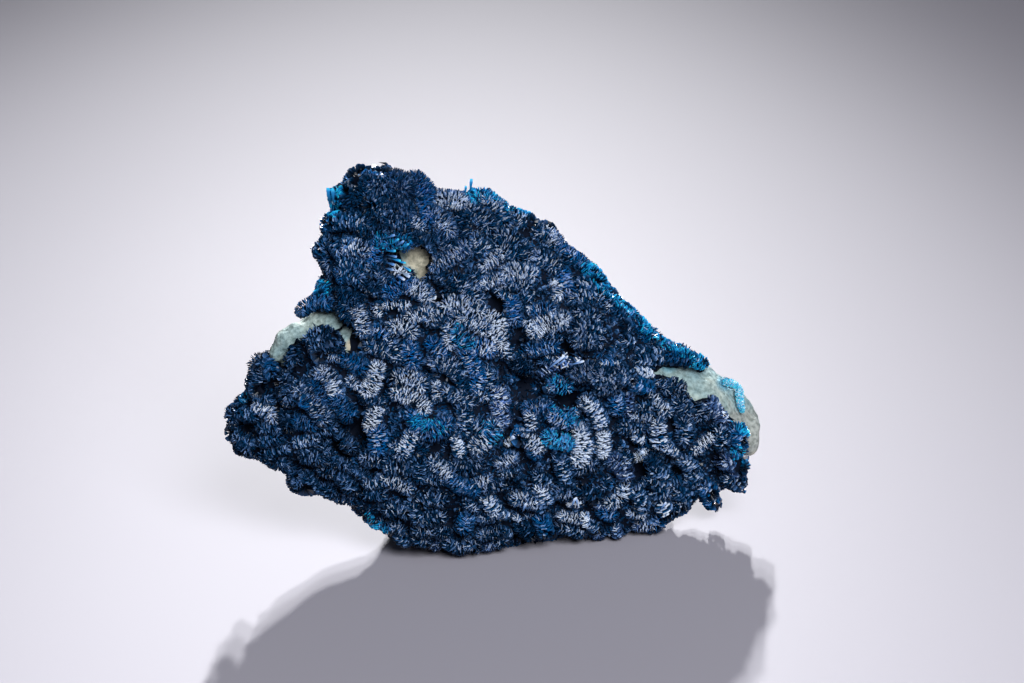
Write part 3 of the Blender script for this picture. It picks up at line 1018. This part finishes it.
STAIN_GAIN = 2.2
BREAKUP_GAIN = 1.6
BREAKUP_SHIFT = -1.5
rock_material, nodes, links, shader = new_material("pale green rock")
place_in = nodes.new("ShaderNodeTexCoord")


def noise_of(scale, detail):
    """A noise texture on the object's own coordinates."""
    texture = nodes.new("ShaderNodeTexNoise")
    texture.inputs["Scale"].default_value = scale
    texture.inputs["Detail"].default_value = detail
    links.new(place_in.outputs["Object"], texture.inputs["Vector"])
    return texture.outputs["Fac"]


def stained(stain, breakup):
    """The mask of a stain, with its edge broken up by a noise."""
    both = nodes.new("ShaderNodeMath")
    both.operation = "MULTIPLY_ADD"
    both.inputs[1].default_value = STAIN_GAIN
    links.new(attribute(stain).outputs["Fac"], both.inputs[0])
    shift = nodes.new("ShaderNodeMath")
    shift.operation = "MULTIPLY_ADD"
    shift.inputs[1].default_value = BREAKUP_GAIN
    shift.inputs[2].default_value = BREAKUP_SHIFT
    links.new(breakup, shift.inputs[0])
    links.new(shift.outputs["Value"], both.inputs[2])
    both.use_clamp = True
    return both.outputs["Value"]


patches = noise_of(420, 4)
grains = noise_of(2600, 5)
ground = ramp_of(
    patches, (0.30, (0.22, 0.35, 0.39)), (0.52, (0.34, 0.46, 0.46)), (0.72, (0.47, 0.55, 0.51))
)
broken = ramp_of(
    noise_of(260, 6),
    (0.36, (0.10, 0.12, 0.095)), (0.50, (0.20, 0.245, 0.20)), (0.64, (0.27, 0.235, 0.15)),
)
ground = mixed(attribute("weathered").outputs["Fac"], ground, broken)
ground = mixed(stained("blue", patches), ground, (0.16, 0.42, 0.55))
ground = mixed(stained("cream", patches), ground, (0.37, 0.40, 0.38))
ground = mixed(stained("tan", patches), ground, (0.52, 0.49, 0.38))
speckles = ramp_of(
    grains, (0.36, (0.62, 0.64, 0.62)), (0.50, (0.97, 0.97, 0.97)), (0.66, (1.22, 1.22, 1.2))
)
speckled = nodes.new("ShaderNodeMix")
speckled.data_type = "RGBA"
speckled.blend_type = "MULTIPLY"
speckled.inputs["Factor"].default_value = 1.0
links.new(ground, speckled.inputs["A"])
links.new(speckles, speckled.inputs["B"])
links.new(speckled.outputs["Result"], shader.inputs["Base Color"])
bump = nodes.new("ShaderNodeBump")
bump.inputs["Strength"].default_value = 0.7
bump.inputs["Distance"].default_value = 0.0002
links.new(grains, bump.inputs["Height"])
links.new(bump.outputs["Normal"], shader.inputs["Normal"])
shader.inputs["Roughness"].default_value = 0.8
fine.materials.clear()
fine.materials.append(rock_material)
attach(rock, "root")
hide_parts("matrix")

# The light-blue streak
# A thin crust of small turquoise blades, which have grown down over one another on the bare rock of
# the right corner. A body of the same colour lies under them.
STREAK_COUNT = 1500
STREAK_OUT = 0.55  # how much the blades look outwards, where downwards is 1
STREAK_TURN = 0.18
STREAK_COLOUR = (0.11, 0.85, 1.7)
STREAK_SHADES = (0.7, 1.1)
PALE_COLOUR = (0.75, 1.4, 1.8)
PALE_SHARE = 0.3
STREAK_ROOT = 0.25  # how deep they start under its skin
STREAK_LENGTHS = (0.3, 0.5)
STREAK_WIDTHS = (0.12, 0.3)
STREAK_THICKNESSES = (0.06, 0.12)
streak_material, nodes, links, shader = new_material("turquoise crystals")
links.new(attribute("body_colour").outputs["Color"], shader.inputs["Base Color"])
shader.inputs["Roughness"].default_value = 0.3
spots, faces_look = spread_samples("turquoise_streak", STREAK_COUNT)
count = len(spots)
down = -np.array(UP) - faces_look * (faces_look @ -np.array(UP))[:, None]
turn = rng.normal(scale=STREAK_TURN, size=(count, 3))
out = unit(STREAK_OUT * faces_look + unit(down) + turn)
wide = square_to(out, rng.normal(size=(count, 3)))
shade = np.array(STREAK_COLOUR) * rng.uniform(*STREAK_SHADES, count)[:, None]
pale_ones = (rng.random(count) < PALE_SHARE)[:, None]
shade = np.where(pale_ones, np.array(PALE_COLOUR), shade)
length = rng.uniform(*STREAK_LENGTHS, count)
width = rng.uniform(*STREAK_WIDTHS, count)
thick = rng.uniform(*STREAK_THICKNESSES, count)
blades = (spots - out * STREAK_ROOT, out, wide, length, width, thick, shade, np.zeros(count))
body_material, _, _, shader = new_material("turquoise body")
shader.inputs["Base Color"].default_value = (0.12, 0.50, 0.78, 1)
shader.inputs["Roughness"].default_value = 0.35
streak_body = moved_copy("turquoise_streak", "streak_body", 0.0)
streak_body.data.materials.append(body_material)
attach(streak_body, "root")
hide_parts("turquoise_streak")
streak = blade_mesh("streak", blades, streak_material)
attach(streak, "root")
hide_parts("turquoise_streak")

# The floor
# The pale, even surface that the specimen stands on. It goes on past the edges of the picture.
FLOOR_REACH = 1.5
floor_material, _, _, shader = new_material("pale floor")
shader.inputs["Base Color"].default_value = (0.345, 0.332, 0.385, 1)
shader.inputs["Roughness"].default_value = 0.7
bm = bmesh.new()
bmesh.ops.create_grid(bm, x_segments=1, y_segments=1, size=FLOOR_REACH)
floor_mesh = bpy.data.meshes.new("floor")
bm.to_mesh(floor_mesh)
bm.free()
floor = added("floor", floor_mesh)
floor_mesh.materials.append(floor_material)

# The lights
# Three spots close together, low behind the specimen, throw its shadow forwards. A soft light in front
# on the right shows the face, and a faint one hangs overhead.
KEY_DISTANCE = 1.6
KEY_SOFTNESS = 0.022
KEY_AIM = Vector((-0.02, -0.11, 0))
GLOW_AIM = Vector((-0.012, -0.025, 0))
SOFT_AIM = Vector((0, 0, 0.015))
SOFT_COLOUR = (0.97, 0.98, 1.0)
bpy.context.scene.view_settings.view_transform = "Standard"


def aim(light, spot):
    """Turns a light so that it shines on a spot."""
    light.rotation_euler = (light.location - spot).to_track_quat("Z", "Y").to_euler()


for name, azimuth, elevation, power, cone, spot in (
    ("key_low", 1, 21, 108, 10.8, KEY_AIM),
    ("key_high", -1, 27, 81, 10.8, KEY_AIM),
    ("key_near", 0, 24, 60, 4.0, GLOW_AIM),
):
    data = bpy.data.lights.new(name, "SPOT")
    data.energy = power
    data.spot_size = math.radians(cone)
    data.spot_blend = 1.0
    data.shadow_soft_size = KEY_SOFTNESS
    light = added(name, data)
    turn = math.radians(azimuth)
    rise = math.radians(elevation)
    flat = Vector((math.sin(turn), math.cos(turn), 0)) * math.cos(rise)
    light.location = (flat + Vector((0, 0, math.sin(rise)))) * KEY_DISTANCE
    aim(light, spot)

for name, spot, size, power in (
    ("front_soft", (0.14, -0.33, 0.37), 0.26, 2.6),
    ("overhead", (0.0, -0.16, 0.48), 0.20, 0.18),
):
    data = bpy.data.lights.new(name, "AREA")
    data.size = size
    data.energy = power
    data.color = SOFT_COLOUR
    light = added(name, data)
    light.location = spot
    aim(light, SOFT_AIM)

world = bpy.data.worlds.new("world")
world.use_nodes = True
world.node_tree.nodes["Background"].inputs["Color"].default_value = (0.80, 0.80, 0.92, 1)
world.node_tree.nodes["Background"].inputs["Strength"].default_value = 0.06
bpy.context.scene.world = world
